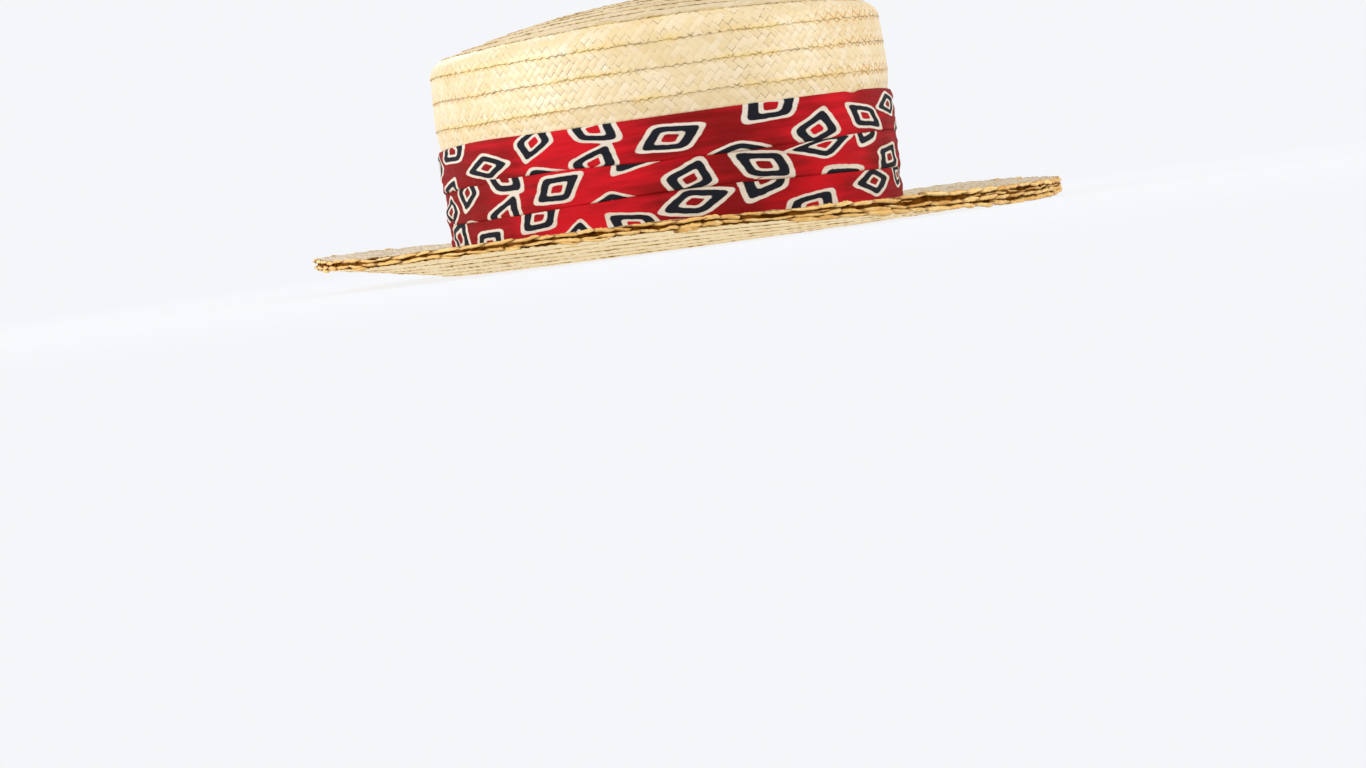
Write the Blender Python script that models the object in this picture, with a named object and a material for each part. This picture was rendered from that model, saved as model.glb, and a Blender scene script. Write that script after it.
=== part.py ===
"""A straw boater: a crown of sewn straw braid, a brim of two straw plies and a pleated cotton band.

Units are metres and +Z is up. The wearer faces -Y, and the wearer's left is +X. The origin is on the
surface that the hat rests on, under the middle of the brim's outline. Bearings are degrees round the
hat from the front, turning towards the wearer's left.
"""
import math

import bmesh
import bpy
import numpy as np

# Crown: the oval of the straw at its foot, its wall, and the last seam on its side
CROWN_HALF_WIDTH = 0.0847
CROWN_HALF_LENGTH = 0.0992
CROWN_WALL = 0.0020
SIDE_HEIGHT = 0.0828
FLARE = 0.0026

# Shoulder and tip of the crown
SHOULDER_REACH = 0.0100
SHOULDER_RISE = 0.0085
SHOULDER_ANGLE = math.radians(78.0)
SHOULDER_LIFT = 0.0026
TIP_RISE = 0.0124
TIP_BOW = 1.75
TIP_ROWS = 8
TIP_BUTTON = 0.0026

# Brim: its width past the crown, its two plies, and how far the crown sits from its middle
BRIM_WIDTH = 0.0637
BRIM_RISE = 0.0082
BRIM_ROWS = 6
BRIM_PLY = 0.0018
BRIM_EDGE_ROUND = 0.0005
SEAT_WIDTH = 0.0050
CROWN_TO_LEFT = -0.0023
CROWN_TO_BACK = 0.0023

# Band: its share of the crown's side, its thickness, and the folds that lap down over each other
BAND_SHARE = 0.5894
BAND_HEIGHT = BAND_SHARE * SIDE_HEIGHT
BAND_CLOTH = 0.0011
FOLD_DEPTH = 0.0012
FOLD_LIP = 0.0006
TUCK_DEPTH = 0.0045
PLEAT_WAVER = 0.0014

# Laps of the braid, and the clearance between separate pieces
LAP_STEP = 0.0005
LAP_RUN = 0.0003
CLEARANCE = 0.0003
SEGMENTS = 58

# Seams and bends up the crown's side
SIDE = (
    # height / SIDE_HEIGHT, flare / FLARE, 1 at the lapped edge of a row or 0 at a bend
    (0.186, 0.00, 1),
    (0.320, 0.00, 1),
    (0.455, 0.00, 1),
    (0.595, 0.00, 1),
    (0.642, 0.60, 0),
    (0.735, 1.00, 1),
    (0.875, 0.86, 1),
    (1.000, 0.71, 1),
)

# The inside of the crown's side
SIDE_INSIDE = (
    # height / SIDE_HEIGHT, flare / FLARE
    (0.56, 0.00),
    (0.68, 0.60),
)

# How the brim turns up and how the shoulder rides up and down round the hat
WARP = (
    # bearing, brim rise / BRIM_RISE, bow of the rise, shoulder lift / SHOULDER_LIFT
    (-45, 1.00, 1.15, 1.00),
    (-15, 0.63, 1.30, 0.65),
    (15, 0.34, 1.60, -0.10),
    (45, 0.48, 2.00, -0.45),
    (75, 0.72, 1.60, -0.05),
    (105, 0.73, 1.30, 0.50),
    (135, 0.76, 1.20, 0.80),
    (165, 1.07, 1.10, 0.50),
    (195, 1.38, 1.00, 0.05),
    (225, 1.34, 1.00, -0.25),
    (255, 1.10, 1.05, 0.00),
    (285, 1.10, 1.10, 0.60),
)

# The outside of the band from its foot up, with the share of each line's waver that a ring follows
TIERS = (
    # height / BAND_HEIGHT, depth / FOLD_DEPTH, lower fold, upper fold, top edge
    (0.000, 0.10, 0.0, 0.0, 0.0),
    (0.014, 0.42, 0.0, 0.0, 0.0),
    (0.180, 0.30, 0.4, 0.0, 0.0),
    (0.352, 0.10, 1.0, 0.0, 0.0),
    (0.358, 0.60, 1.0, 0.0, 0.0),
    (0.385, 0.66, 1.0, 0.0, 0.0),
    (0.500, 0.50, 0.5, 0.5, 0.0),
    (0.630, 0.35, 0.0, 1.0, 0.0),
    (0.636, 1.05, 0.0, 1.0, 0.0),
    (0.665, 1.12, 0.0, 1.0, 0.0),
    (0.820, 1.02, 0.0, 0.5, 0.5),
    (0.985, 1.12, 0.0, 0.0, 1.0),
    (1.000, 0.90, 0.0, 0.0, 1.0),
)

# How the lines of the band's folds wander round the hat
WAVER = (
    # bearing, lower fold / PLEAT_WAVER, upper fold / PLEAT_WAVER, top edge / PLEAT_WAVER
    (-45, 0.70, -0.05, 0.00),
    (-15, -0.15, 0.00, 0.10),
    (15, -1.30, 0.70, 0.15),
    (45, -0.50, -0.20, -0.70),
    (75, -0.20, -0.50, -0.20),
    (105, 0.20, -0.20, 0.10),
    (135, 0.30, 0.20, 0.20),
    (165, 0.10, 0.40, 0.00),
    (195, -0.20, 0.00, -0.20),
    (225, 0.00, -0.40, -0.55),
    (255, 0.65, -0.25, 0.50),
    (285, 1.00, -0.15, 0.05),
)

TURN = np.linspace(0.0, 2.0 * math.pi, SEGMENTS, endpoint=False)
BRIM_TOP = 2.0 * BRIM_PLY + CLEARANCE
CROWN_FOOT = BRIM_TOP + CLEARANCE
BAND_TOP = CROWN_FOOT + BAND_HEIGHT


def oval(grow):
    """X and Y of the foot's oval, grown outwards by a length."""
    return np.stack([(CROWN_HALF_WIDTH + grow) * np.sin(TURN), -(CROWN_HALF_LENGTH + grow) * np.cos(TURN)], 1)


def round_the_hat(table, column):
    """A table's column at every segment, on one smooth closed curve through its evenly spaced rows."""
    foot = oval(0.0)
    bearing = np.degrees(np.arctan2(foot[:, 0], -foot[:, 1]))
    pitch = 360.0 / len(table)
    place = (bearing - table[0][0]) / pitch
    row = np.floor(place).astype(int)
    along = place - row
    values = np.array([line[column] for line in table])
    before, here, after, beyond = (values[(row + step) % len(table)] for step in (-1, 0, 1, 2))
    slope_here = (after - before) / 2.0
    slope_after = (beyond - here) / 2.0
    rise = after - here
    cubic = slope_here + slope_after - 2.0 * rise
    square = 3.0 * rise - 2.0 * slope_here - slope_after
    return here + along * (slope_here + along * (square + along * cubic))


def ring(plan, height):
    """One closed ring of points over a plan of X and Y."""
    return np.column_stack([plan, np.broadcast_to(height, SEGMENTS)])


def solid(name, rings, colour, roughness, closed_loop, location=(0.0, 0.0)):
    """A solid skinned over its rings: round a closed loop, or from end to end with a flat cap on each."""
    mesh = bpy.data.meshes.new(name)
    shape = bmesh.new()
    loops = [[shape.verts.new(point) for point in points] for points in rings]
    pairs = list(zip(loops, loops[1:]))
    if closed_loop:
        pairs.append((loops[-1], loops[0]))
    else:
        shape.faces.new(loops[0])
        shape.faces.new(loops[-1])
    for lower, upper in pairs:
        for here in range(SEGMENTS):
            after = (here + 1) % SEGMENTS
            shape.faces.new((lower[here], lower[after], upper[after], upper[here]))
    bmesh.ops.recalc_face_normals(shape, faces=shape.faces)
    shape.to_mesh(mesh)
    shape.free()
    mesh.shade_smooth()
    mesh.set_sharp_from_angle(angle=math.radians(40.0))
    mesh.materials.append(finish(name, colour, roughness))
    piece = bpy.data.objects.new(name, mesh)
    piece.location = (location[0], location[1], 0.0)
    bpy.context.scene.collection.objects.link(piece)
    return piece


def finish(name, colour, roughness):
    """A plain Principled material."""
    material = bpy.data.materials.new(name)
    material.use_nodes = True
    shader = material.node_tree.nodes["Principled BSDF"]
    shader.inputs["Base Color"].default_value = (*colour, 1.0)
    shader.inputs["Roughness"].default_value = roughness
    shader.inputs["Metallic"].default_value = 0.0
    return material


def side_outside():
    """Rings up the outside of the crown's side, stepping out under the lapped edge of each row."""
    rings = [ring(oval(-LAP_STEP), CROWN_FOOT)]
    for height_share, flare_share, lapped in SIDE:
        height = height_share * SIDE_HEIGHT
        flare = flare_share * FLARE
        if lapped:
            rings.append(ring(oval(flare - LAP_STEP), height - LAP_RUN))
        rings.append(ring(oval(flare), height))
    return rings


def over_the_top(reach, rise, sink, lift):
    """The shoulder and tip below a skin: where a turn of the shoulder, or an inset on the tip, lies."""
    flare = SIDE[-1][1] * FLARE
    edge_inset = reach * (1.0 - math.cos(SHOULDER_ANGLE))
    half_span = CROWN_HALF_WIDTH + flare - edge_inset

    def shoulder(turn, step):
        inset = reach * (1.0 - math.cos(turn)) + sink + step * math.cos(turn)
        height = SIDE_HEIGHT + rise * math.sin(turn) - step * math.sin(turn)
        return ring(oval(flare - inset), height + lift * turn / SHOULDER_ANGLE)

    def tip(inset, step):
        toward_middle = (inset - edge_inset) / half_span
        dome = TIP_RISE * (1.0 - (1.0 - toward_middle) ** TIP_BOW)
        height = SIDE_HEIGHT + rise * math.sin(SHOULDER_ANGLE) + dome - step
        return ring(oval(flare - inset), height + lift * (1.0 - toward_middle))

    return shoulder, tip, edge_inset, half_span


def make_crown():
    """The crown: rings up the inside from its middle to its foot's edge, and up the outside to the tip."""
    lift = SHOULDER_LIFT * round_the_hat(WARP, 3)

    shoulder, tip, edge_inset, half_span = over_the_top(SHOULDER_REACH, SHOULDER_RISE, 0.0, lift)
    outside = side_outside()
    for share, step_share in ((0.25, 0.3), (0.50, 0.6), (0.76, 1.0), (0.79, 0.0), (1.00, 0.2)):
        outside.append(shoulder(share * SHOULDER_ANGLE, step_share * LAP_STEP))
    first_seam = SHOULDER_REACH * (1.0 - math.cos(0.79 * SHOULDER_ANGLE))
    last_inset = edge_inset + half_span - TIP_BUTTON
    row_width = (last_inset - first_seam) / TIP_ROWS
    for row in range(1, TIP_ROWS):
        seam = first_seam + row * row_width
        outside.append(tip(seam - LAP_RUN, LAP_STEP))
        outside.append(tip(seam, 0.0))
    outside.append(tip(last_inset, LAP_STEP))

    inner_rise = SHOULDER_RISE - CROWN_WALL
    shoulder, tip, _, _ = over_the_top(SHOULDER_REACH, inner_rise, CROWN_WALL, lift)
    inside = [ring(oval(-CROWN_WALL), CROWN_FOOT)]
    for height_share, flare_share in SIDE_INSIDE:
        inside.append(ring(oval(flare_share * FLARE - CROWN_WALL), height_share * SIDE_HEIGHT))
    for share in (0.0, 0.35, 0.70, 1.00):
        inside.append(shoulder(share * SHOULDER_ANGLE, 0.0))
    inner_edge = edge_inset + CROWN_WALL
    for share in (0.25, 0.50, 0.75, 1.00):
        inset = inner_edge + share * (last_inset - inner_edge)
        inside.append(tip(inset, CROWN_WALL * (1.0 - math.sin(SHOULDER_ANGLE))))

    rings = list(reversed(inside)) + outside
    return solid("crown", rings, (0.80, 0.66, 0.38), 0.55, False, (CROWN_TO_LEFT, CROWN_TO_BACK))


def brim_plan(across):
    """X and Y of the ring a share of the way from the head opening to the rim."""
    opening = oval(-CROWN_WALL) + (CROWN_TO_LEFT, CROWN_TO_BACK)
    rim = oval(BRIM_WIDTH)
    return opening + (rim - opening) * across


def brim_dish(across):
    """How far the brim has turned up there, round the hat."""
    seat = SEAT_WIDTH / (BRIM_WIDTH + CROWN_WALL)
    past_seat = max(0.0, (across - seat) / (1.0 - seat))
    return BRIM_RISE * round_the_hat(WARP, 1) * past_seat ** round_the_hat(WARP, 2)


def make_ply(name, bottom, laps_up):
    """One ply of the brim, its rows lapping on its top or its underside and its other face plain."""
    width = BRIM_WIDTH + CROWN_WALL
    lap = LAP_RUN / width
    edge = BRIM_EDGE_ROUND / width
    seat = SEAT_WIDTH / width
    top = bottom + BRIM_PLY

    lapped = [(0.0, 0.0), (seat, 0.0)]
    for row in range(1, BRIM_ROWS):
        seam = row / BRIM_ROWS
        if laps_up:
            lapped += [(seam, 0.0), (seam + lap, LAP_STEP)]
        else:
            lapped += [(seam - lap, LAP_STEP), (seam, 0.0)]
    lapped.append((1.0 - edge, 0.0 if laps_up else LAP_STEP))
    plain = [(share, 0.0) for share in (0.0, seat, 1.0 / 3.0, 2.0 / 3.0, 1.0 - edge)]

    above, below = (lapped, plain) if laps_up else (plain, lapped)
    rings = [ring(brim_plan(across), top + brim_dish(across) - step) for across, step in above]
    rings.append(ring(brim_plan(1.0), top + brim_dish(1.0) - BRIM_EDGE_ROUND))
    rings.append(ring(brim_plan(1.0), bottom + brim_dish(1.0) + BRIM_EDGE_ROUND))
    rings += [ring(brim_plan(across), bottom + brim_dish(across) + step) for across, step in reversed(below)]
    return solid(name, rings, (0.74, 0.56, 0.28), 0.60, True)


def make_band():
    """The pleated band: three tiers, each lapping down over the next, round the crown's foot."""
    wavers = [PLEAT_WAVER * round_the_hat(WAVER, column) for column in (1, 2, 3)]
    tuck = np.interp(BAND_TOP, [SIDE_HEIGHT * row[0] for row in SIDE], [FLARE * row[1] for row in SIDE])
    rings = []
    for height_share, depth_share, *shares in TIERS:
        waver = sum(share * line for share, line in zip(shares, wavers))
        depth = CLEARANCE + BAND_CLOTH + depth_share * FOLD_DEPTH
        rings.append(ring(oval(depth), CROWN_FOOT + height_share * BAND_HEIGHT + waver))
    rings.append(ring(oval(CLEARANCE + tuck), BAND_TOP - FOLD_LIP + wavers[2]))
    rings.append(ring(oval(CLEARANCE), BAND_TOP - TUCK_DEPTH))
    rings.append(ring(oval(CLEARANCE), CROWN_FOOT))
    return solid("hat_band", rings, (0.55, 0.02, 0.04), 0.75, True, (CROWN_TO_LEFT, CROWN_TO_BACK))


def main():
    for thing in list(bpy.data.objects):
        bpy.data.objects.remove(thing)
    make_ply("brim_lower", 0.0, False)
    make_ply("brim_upper", BRIM_PLY + CLEARANCE, True)
    make_crown()
    make_band()


main()
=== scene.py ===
import math

import bpy
import numpy as np
from mathutils import Matrix


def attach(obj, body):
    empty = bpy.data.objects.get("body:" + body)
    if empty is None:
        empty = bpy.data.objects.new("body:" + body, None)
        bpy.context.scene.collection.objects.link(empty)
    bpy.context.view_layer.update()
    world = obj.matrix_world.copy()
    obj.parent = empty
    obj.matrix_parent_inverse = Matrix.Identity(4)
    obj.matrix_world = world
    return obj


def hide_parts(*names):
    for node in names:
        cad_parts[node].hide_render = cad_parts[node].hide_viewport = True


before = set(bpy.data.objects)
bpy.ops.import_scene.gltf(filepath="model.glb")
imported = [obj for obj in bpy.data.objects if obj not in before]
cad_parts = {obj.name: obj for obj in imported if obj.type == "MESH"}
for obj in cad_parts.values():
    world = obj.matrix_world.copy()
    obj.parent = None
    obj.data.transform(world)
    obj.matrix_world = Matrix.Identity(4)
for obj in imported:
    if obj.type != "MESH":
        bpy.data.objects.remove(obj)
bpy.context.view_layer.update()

# Sizes in metres, the same as the part's source, but for the two folds in WAVER, which are set closer
# to the photo here, and the band's tone table, which is for the looks alone: painted light and shade on
# the band's red. A bearing is in degrees from the wearer's front towards the wearer's left
CROWN_HALF_WIDTH, CROWN_HALF_LENGTH, CROWN_WALL = 0.0847, 0.0992, 0.0020
SIDE_HEIGHT, FLARE = 0.0828, 0.0026
SHOULDER_REACH, SHOULDER_RISE, SHOULDER_ANGLE, SHOULDER_LIFT = 0.0100, 0.0085, math.radians(78.0), 0.0026
TIP_RISE, TIP_BOW, TIP_ROWS = 0.0124, 1.75, 8
BRIM_WIDTH, BRIM_RISE, BRIM_ROWS, BRIM_PLY, SEAT_WIDTH = 0.0637, 0.0082, 6, 0.0018, 0.0050
CROWN_CENTRE = (-0.0023, 0.0023)
BAND_HEIGHT, BAND_CLOTH, FOLD_DEPTH, PLEAT_WAVER = 0.0488, 0.0011, 0.0012, 0.0014
LAP_STEP, CLEARANCE = 0.0005, 0.0003
BRIM_TOP = 2.0 * BRIM_PLY + CLEARANCE
CROWN_FOOT = BRIM_TOP + CLEARANCE
BAND_TOP = CROWN_FOOT + BAND_HEIGHT

SEAM_HEIGHTS = (0.595, 0.735, 0.875, 1.000)  # shares of SIDE_HEIGHT
SHOULDER_SEAM = 0.79  # share of the way over the shoulder
SIDE_PROFILE = ((0.0, 0.0), (0.595, 0.0), (0.642, 0.60), (0.735, 1.0), (0.875, 0.86), (1.0, 0.71))
WARP = (
    # bearing, brim rise / BRIM_RISE, bow of the rise, shoulder lift / SHOULDER_LIFT
    (-45, 1.00, 1.15, 1.00), (-15, 0.63, 1.30, 0.65), (15, 0.34, 1.60, -0.10), (45, 0.48, 2.00, -0.45),
    (75, 0.72, 1.60, -0.05), (105, 0.73, 1.30, 0.50), (135, 0.76, 1.20, 0.80), (165, 1.07, 1.10, 0.50),
    (195, 1.38, 1.00, 0.05), (225, 1.34, 1.00, -0.25), (255, 1.10, 1.05, 0.00), (285, 1.10, 1.10, 0.60),
)
WAVER = (
    # bearing, then the heights of the lower fold, the upper fold and the top edge, all / PLEAT_WAVER
    (-45, 1.30, 0.25, 0.00), (-15, 0.35, 0.00, 0.10), (15, -0.60, 0.70, 0.15), (45, -0.50, -0.20, -0.70),
    (75, -0.20, -0.50, -0.20), (105, 0.20, -0.20, 0.10), (135, 0.30, 0.20, 0.20), (165, 0.10, 0.40, 0.00),
    (195, -0.20, 0.00, -0.20), (225, 0.00, -0.20, -0.55), (255, -0.05, 0.68, 0.50), (285, 0.50, 1.45, 0.05),
)
CLOTH_LIGHT = (
    # bearing, and how light the band's red is there, as painted light and shade
    (-65, 0.90), (-35, 0.06), (-5, 0.65), (25, 0.05), (55, 0.35), (85, 0.60), (115, 0.30), (145, 0.55),
    (175, 0.70), (205, 0.40), (235, 0.00), (265, 0.35),
)

STRAND = 2.7  # mm, width of one strand of the plait
PLAIT = STRAND * math.sqrt(2.0)  # mm, pitch of the plait along a row
MM = 0.001
ABOVE_FLOOR = 0.00002  # keeps the straw clear of the plane that the hat rests on
VIEW_BEARING = -45.0  # of the side of the hat that the photo shows


# Small numeric helpers
def columns(front, back):
    """Turns of the oval, closer together from -150 to 60 degrees than on the far side."""
    near = np.linspace(-150.0, 60.0, front, endpoint=False)
    far = np.linspace(60.0, 210.0, back, endpoint=False)
    return np.radians(np.concatenate([near, far]))


def oval(turn, grow):
    return (CROWN_HALF_WIDTH + grow) * np.sin(turn), -(CROWN_HALF_LENGTH + grow) * np.cos(turn)


def bearing_of(turn):
    x, y = oval(turn, 0.0)
    return np.degrees(np.arctan2(x, -y))


def past_view(turn):
    """Degrees past the bearing that faces the camera, from -180 to 180."""
    return np.mod(bearing_of(turn) - VIEW_BEARING + 180.0, 360.0) - 180.0


def round_the_hat(table, column, turn):
    """A table's column at each turn, on one smooth closed curve through its evenly spaced rows."""
    pitch = 360.0 / len(table)
    place = (bearing_of(turn) - table[0][0]) / pitch
    row = np.floor(place).astype(int)
    along = place - row
    values = np.array([line[column] for line in table])
    before, here, after, beyond = (values[(row + step) % len(table)] for step in (-1, 0, 1, 2))
    slope_here, slope_after, rise = (after - before) / 2.0, (beyond - here) / 2.0, after - here
    cubic = slope_here + slope_after - 2.0 * rise
    square = 3.0 * rise - 2.0 * slope_here - slope_after
    return here + along * (slope_here + along * (square + along * cubic))


def noise(along, across, seed, wrap):
    """Smooth noise from -1 to 1 on a lattice that closes on itself after wrap cells along."""
    cells = 256
    lattice = np.random.default_rng(seed).uniform(-1.0, 1.0, (wrap, cells))
    a, b = np.broadcast_arrays(np.asarray(along, float), np.asarray(across, float))
    ia, ib = np.floor(a).astype(int), np.floor(b).astype(int)
    fa, fb = a - ia, b - ib
    fa, fb = fa * fa * (3 - 2 * fa), fb * fb * (3 - 2 * fb)
    v = [[lattice[(ia + i) % wrap, (ib + j) % cells] for j in (0, 1)] for i in (0, 1)]
    return (v[0][0] * (1 - fa) + v[1][0] * fa) * (1 - fb) + (v[0][1] * (1 - fa) + v[1][1] * fa) * fb


def smooth_step(low, high, value):
    share = np.clip((value - low) / (high - low), 0.0, 1.0)
    return share * share * (3 - 2 * share)


def per_item(index, seed, low, high):
    """One repeatable random number for each whole index."""
    count = 4096
    return np.random.default_rng(seed).uniform(low, high, count)[np.mod(index.astype(int), count)]


def weave_height(u, v):
    """Relief of a two-over, two-under plait set at 45 degrees, in mm, at u along and v across a row."""
    p, q = (u + v) / PLAIT, (u - v) / PLAIT
    i, j = np.floor(p), np.floor(q)
    step = np.mod(i - j, 4.0)
    first = step < 2.0
    across = np.where(first, p - i, q - j)
    along = np.where(first, (q - j + 1.0 - step) / 2.0, (p - i + step - 2.0) / 2.0)
    side = np.minimum(across, 1.0 - across) * STRAND
    end = np.minimum(along, 1.0 - along) * 2.0 * STRAND
    tilt = np.where(first, per_item(i * 7 + 900, 3, -0.06, 0.06), per_item(j * 5 + 300, 4, -0.06, 0.06))
    rise = 0.07 * smooth_step(0.0, 0.7, side) + 0.12 * smooth_step(0.0, 1.4, end)
    return rise + tilt * (across - 0.5) * 1.4 - 0.10


# Meshes
class Piece:
    """Collects closed bands of quads into one mesh, with values kept at the corners of the faces."""

    def __init__(self, name):
        self.name, self.points, self.faces, self.values, self.count = name, [], [], {}, 0

    def add(self, points, values, flip=False, closed=True):
        """points: rows x columns x 3. values: name -> rows x (columns + 1 if closed) x 3."""
        rows, cols = points.shape[:2]
        spans = cols if closed else cols - 1
        r, c = np.meshgrid(np.arange(rows - 1), np.arange(spans), indexing="ij")
        corners = [(r, c), (r, c + 1), (r + 1, c + 1), (r + 1, c)]
        if flip:
            corners.reverse()
        face = np.stack([rr * cols + cc % cols for rr, cc in corners], -1).reshape(-1, 4)
        self.points.append(points.reshape(-1, 3))
        self.faces.append(face + self.count)
        for key, value in values.items():
            self.values.setdefault(key, []).append(
                np.stack([value[rr, cc] for rr, cc in corners], 2).reshape(-1, 3))
        self.count += rows * cols

    def finish(self, material, slot, node=None):
        points, faces = np.concatenate(self.points), np.concatenate(self.faces)
        mesh = bpy.data.meshes.new(self.name)
        mesh.vertices.add(len(points))
        mesh.vertices.foreach_set("co", points.ravel())
        mesh.loops.add(faces.size)
        mesh.loops.foreach_set("vertex_index", faces.ravel().astype(np.int32))
        mesh.polygons.add(len(faces))
        mesh.polygons.foreach_set("loop_start", np.arange(0, faces.size, 4, dtype=np.int32))
        mesh.update(calc_edges=True)
        mesh.validate()
        for key, parts in self.values.items():
            data = mesh.attributes.new(key, "FLOAT_VECTOR", "CORNER")
            data.data.foreach_set("vector", np.concatenate(parts).ravel().astype(np.float32))
        mesh.shade_smooth()
        mesh.materials.append(material)
        piece = bpy.data.objects.new(self.name, mesh)
        bpy.context.scene.collection.objects.link(piece)
        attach(piece, "root")
        if node:
            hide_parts(node)
        return piece


def length_along(points):
    """Distance along a line of points from its first one, in mm."""
    return np.concatenate([[0.0], np.cumsum(np.linalg.norm(np.diff(points, axis=0), axis=1))]) / MM


def around_length(points):
    """The same round a closed ring of points, with the full length last."""
    return length_along(np.concatenate([points, points[:1]]))


def ring(surface, place, off, turn):
    """One closed ring of a surface, at place mm along it and off metres out from it."""
    return surface(np.full((1, len(turn)), place), np.full((1, len(turn)), off), turn)[0]


def braid_row(piece, surface, free, covered, turn, pitch, seed, flip, step=0.35, tuck=1.4, tooth=0.7,
              curl=0.12, rough=0.10, lip=0.55):
    """One row of plait from its free, proud edge to its covered edge, both in mm along the surface.

    In mm too: pitch is the way between the rows of points, step how far the plait sinks towards its
    covered edge, tuck how far it runs on under the next row, tooth how far the strands' folds stand out
    of the free edge, curl how far they lift there, rough the height of the loose waves and lip the
    depth of the free edge.
    """
    first_ring, loose_width, wave_width, settle = 0.30, 2.6, 0.35, 0.12 * MM
    width = abs(covered - free)
    way = 1.0 if covered > free else -1.0
    run = np.concatenate([[0.0], np.arange(first_ring, width + tuck, pitch), [width + tuck]])
    length = around_length(ring(surface, free + way * width / 2.0, 0.0, turn))
    count = max(6, 6 * int(round(length[-1] / PLAIT / 6.0)))
    u = length * (count * PLAIT / length[-1])
    share = length / length[-1]
    u_grid = np.broadcast_to(u, (len(run), len(u)))
    run_grid = np.broadcast_to(run[:, None], u_grid.shape)
    cell = np.floor(u_grid / PLAIT + 0.5)
    saw = 1.0 - 2.0 * np.abs(u_grid / PLAIT - cell)
    reach = tooth * saw * per_item(cell, seed, 0.35, 1.0)
    wander = wave_width * noise(share * 24, np.full(share.shape, 0.5), 17, 24)[None, :]
    fade = np.clip(1.0 - run_grid / loose_width, 0.0, 1.0)
    place = free + way * (run_grid - reach * fade) + wander
    sink = -step * MM * smooth_step(0.0, width, run_grid)
    sink = sink - settle * smooth_step(width - 0.3, width + 0.8, run_grid)
    loose = rough * noise(share * 90, run_grid / 3.0, seed + 1, 90) * (1.0 - run_grid / (width + tuck))
    loose = loose + rough * noise(u_grid / 2.3, run_grid / 2.0, seed + 5, count + 7)
    lifted = curl * fade ** 2 * per_item(cell, seed + 2, 0.0, 1.0)
    off = sink + (weave_height(u_grid, run_grid) + loose + lifted) * MM
    points = surface(place[:, :-1], off[:, :-1], turn)
    lip_places = np.stack([place[0, :-1] + way * 0.25, place[0, :-1] + way * 0.02])
    lip_offs = np.stack([off[0, :-1] - lip * MM, off[0, :-1] - 0.4 * lip * MM])
    lip_points = surface(lip_places, lip_offs, turn)

    # What the straw materials read: the place in the plait, then a mark for the row, the lip, and how
    # much painted glancing light shows on the folds, which is least on the side that faces the camera
    weave = np.stack([u_grid, run_grid, width - run_grid], -1)
    lip_weave = np.stack([u_grid[:2], np.full((2, len(u)), -0.2), np.full((2, len(u)), width)], -1)
    aside = past_view(np.append(turn, turn[0]))
    plain = smooth_step(24.0, 62.0, np.abs(aside)) * np.where(aside > 0, 1.0, 0.35)
    row_mark = seed % 17 / 17.0
    other = np.stack([np.full(u_grid.shape, row_mark), np.zeros(u_grid.shape),
                      np.broadcast_to(plain, u_grid.shape)], -1)
    lip_other = other[:2].copy()
    lip_other[..., 1] = 1.0
    values = {"weave": np.concatenate([lip_weave, weave]), "other": np.concatenate([lip_other, other])}
    piece.add(np.concatenate([lip_points, points]), values, flip)


def plain_strip(piece, rings, flip):
    """A plain lining of plait through rings that are each columns x 3."""
    no_seam = 9.0
    points = np.stack(rings)
    length = around_length(points[len(points) // 2])
    rise = length_along(points[:, 0])
    count = max(8, int(round(length[-1] / PLAIT)))
    u = np.broadcast_to(length * (count * PLAIT / length[-1]), (len(points), len(length)))
    v = np.broadcast_to(rise[:, None], u.shape)
    weave = np.stack([u, v, np.full(u.shape, no_seam)], -1)
    piece.add(points, {"weave": weave, "other": np.zeros(weave.shape)}, flip)


# The crown's surface
SHOULDER_STEPS, TIP_STEPS = 13, 39
SHOULDER_START = len(SIDE_PROFILE) - 1  # the profile's point where the shoulder begins


def crown_profile():
    """The outer skin from the foot to the middle of the tip: grow, height and share of the lift."""
    line = [(share_flare * FLARE, max(share * SIDE_HEIGHT, CROWN_FOOT), 0.0)
            for share, share_flare in SIDE_PROFILE]
    flare = SIDE_PROFILE[-1][1] * FLARE
    for share in np.linspace(0.0, 1.0, SHOULDER_STEPS + 1)[1:]:
        angle = share * SHOULDER_ANGLE
        line.append((flare - SHOULDER_REACH * (1 - math.cos(angle)),
                     SIDE_HEIGHT + SHOULDER_RISE * math.sin(angle), share))
    edge = SHOULDER_REACH * (1 - math.cos(SHOULDER_ANGLE))
    span = CROWN_HALF_WIDTH + flare - edge
    for share in np.linspace(0.0, 1.0, TIP_STEPS + 1)[1:]:
        line.append((flare - edge - share * span,
                     SIDE_HEIGHT + SHOULDER_RISE * math.sin(SHOULDER_ANGLE)
                     + TIP_RISE * (1 - (1 - share) ** TIP_BOW), 1.0 - share))
    line = np.array(line)
    return line, length_along(line[:, :2])


PROFILE, PROFILE_LENGTH = crown_profile()


def at_height(height):
    """How far up the profile in mm the upright side reaches a height."""
    side = SHOULDER_START + 1
    return float(np.interp(height, PROFILE[:side, 1], PROFILE_LENGTH[:side]))


def along_profile(v, column):
    return np.interp(v, PROFILE_LENGTH, PROFILE[:, column])


def crown_points(turn, grow, z):
    """Points at height z on the crown's oval, which is made larger by grow metres."""
    x, y = oval(turn[None, :], grow)
    return np.stack(np.broadcast_arrays(x + CROWN_CENTRE[0], y + CROWN_CENTRE[1], z), -1)


def crown_surface(v, off, turn):
    """Points on the crown at v mm up the profile, off metres out from the skin."""
    grow, height, share = (along_profile(v, column) for column in range(3))
    ahead_g, ahead_h = (along_profile(v + 1.0, column) - along_profile(v - 1.0, column)
                        for column in range(2))
    size = np.hypot(ahead_g, ahead_h) + 1e-9
    lift = SHOULDER_LIFT * round_the_hat(WARP, 3, turn)
    grow = np.maximum(grow + off * ahead_h / size, -CROWN_HALF_WIDTH)
    return crown_points(turn, grow, height - off * ahead_g / size + share * lift[None, :])


# The brim's surfaces
BRIM_SPAN = (BRIM_WIDTH + CROWN_WALL) / MM


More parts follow.
